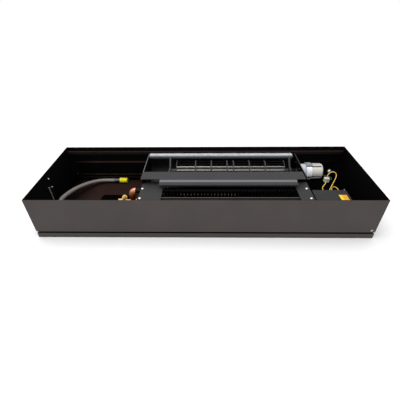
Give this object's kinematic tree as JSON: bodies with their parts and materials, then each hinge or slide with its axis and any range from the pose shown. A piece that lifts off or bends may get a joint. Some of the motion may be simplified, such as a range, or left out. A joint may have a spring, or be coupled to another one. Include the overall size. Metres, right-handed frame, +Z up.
{
  "type": "trench convector",
  "caption": "Open steel trench convector with a cross-flow fan and motor, a finned heat exchanger under a windowed cover, a capped flexible hose and a control box.",
  "frame": {"origin": "middle of the trough's underside", "axes": "+X along the trough, +Y from the front wall to the rear wall, +Z up out of the floor"},
  "size_m": [1, 0.3244, 0.14],
  "materials": {
    "black_powder_coat": "fine matt powder coat",
    "grey_powder_coat": "fine matt powder coat",
    "galvanised_steel": "satin zinc",
    "zinc_fastener": "bright zinc",
    "blade_aluminium": "mill finish",
    "fin_aluminium": "black coated",
    "dark_plastic": "moulded",
    "copper": "drawn tube",
    "brass": "machined",
    "shaft_steel": "ground",
    "black_rubber": "moulded",
    "braided_hose": "steel braid",
    "motor_housing": "cast",
    "motor_shell": "moulded",
    "yellow_plastic": "moulded",
    "wire_insulation": "extruded",
    "white_plastic": "moulded",
    "grey_plastic": "moulded"
  },
  "bodies": {
    "root": {"bottom_pan": "black_powder_coat", "pipe_opening_blank": "black_rubber", "front_wall": "black_powder_coat", "rear_wall": "black_powder_coat", "left_end_wall": "black_powder_coat", "right_end_wall": "black_powder_coat", "corner_angles": "black_powder_coat", "front_grille_rail": "black_powder_coat", "rear_grille_rail": "black_powder_coat", "screws": "zinc_fastener", "rivets": "zinc_fastener", "end_bracket": "black_powder_coat", "cable_grommet": "grey_plastic", "left_side_plate": "grey_powder_coat", "right_side_plate": "grey_powder_coat", "rear_air_guide": "galvanised_steel", "front_air_cover": "grey_powder_coat", "left_bearing_spider": "dark_plastic", "right_bearing_spider": "dark_plastic", "bearing_bushes": "black_rubber", "motor_flange": "motor_housing", "motor_bell": "motor_housing", "motor_can": "motor_housing", "motor_rear_shell": "motor_shell", "motor_end_cap": "motor_shell", "fin_pack": "fin_aluminium", "exchanger_tubes": "copper", "return_bend": "copper", "left_end_plate": "galvanised_steel", "right_end_plate": "galvanised_steel", "exchanger_front_plate": "grey_powder_coat", "frame_cover": "grey_powder_coat", "air_vent": "brass", "supply_bend": "copper", "supply_elbow": "brass", "return_union": "brass", "hose_nut": "brass", "near_ferrule": "galvanised_steel", "hose": "braided_hose", "far_ferrule": "galvanised_steel", "hose_nipple": "brass", "protective_cap": "yellow_plastic", "control_box_base": "grey_powder_coat", "control_box_lid": "grey_powder_coat", "wire_glands": "dark_plastic", "wire_plug": "white_plastic", "wire_left": "wire_insulation", "wire_loop": "wire_insulation", "wire_right": "wire_insulation", "motor_lead": "dark_plastic"},
    "rotor": {"impeller_blades": "blade_aluminium", "impeller_rings": "dark_plastic", "left_end_disc": "dark_plastic", "right_end_disc": "dark_plastic", "impeller_shafts": "shaft_steel", "shaft_coupling": "black_rubber", "motor_shaft": "shaft_steel"},
    "bleed_screw": {"bleed_screw": "brass"}
  },
  "joints": [
    {"name": "impeller_spin", "type": "hinge", "parent": "root", "child": "rotor", "pos_m": [0.09, 0.093, 0.079], "axis": [1, 0, 0], "continuous": true},
    {"name": "bleed_screw_turn", "type": "hinge", "parent": "root", "child": "bleed_screw", "pos_m": [-0.256, -0.03803, 0.063], "axis": [0, 0, 1], "range_deg": [0, 270]}
  ]
}
